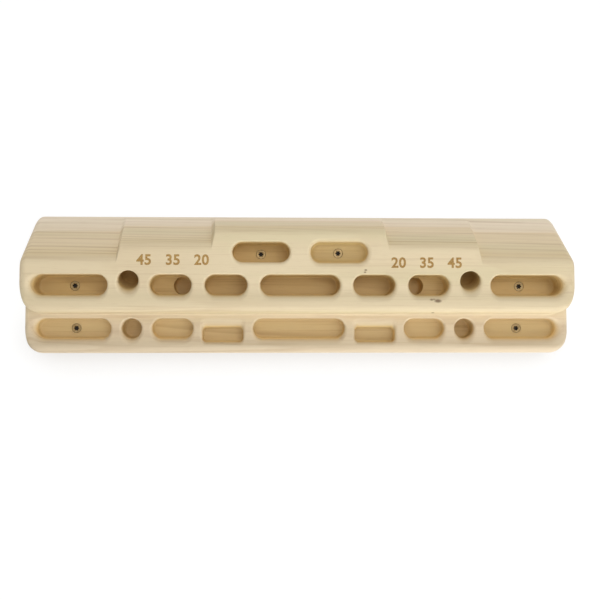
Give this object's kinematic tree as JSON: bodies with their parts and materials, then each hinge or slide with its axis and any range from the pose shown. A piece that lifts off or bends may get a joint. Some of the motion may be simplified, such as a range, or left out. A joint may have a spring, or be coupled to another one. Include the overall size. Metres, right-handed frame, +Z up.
{
  "type": "hangboard",
  "caption": "Wooden training board with stepped slopers and rows of finger pockets, screwed flat to a wall.",
  "frame": {"origin": "centre of the board's flat back, on the wall's surface", "axes": "+X along the board to the right as seen from the front, +Y into the wall, +Z up; the front faces -Y"},
  "size_m": [0.58, 0.088, 0.15],
  "materials": {
    "pale_wood": "fine sanded, unvarnished hardwood",
    "yellow_zinc": "yellow passivated zinc plating"
  },
  "bodies": {
    "root": {"board": "pale_wood", "screw_upper_left": "yellow_zinc", "screw_upper_right": "yellow_zinc", "screw_centre_left": "yellow_zinc", "screw_centre_right": "yellow_zinc", "screw_lower_left": "yellow_zinc", "screw_lower_right": "yellow_zinc"}
  },
  "joints": []
}
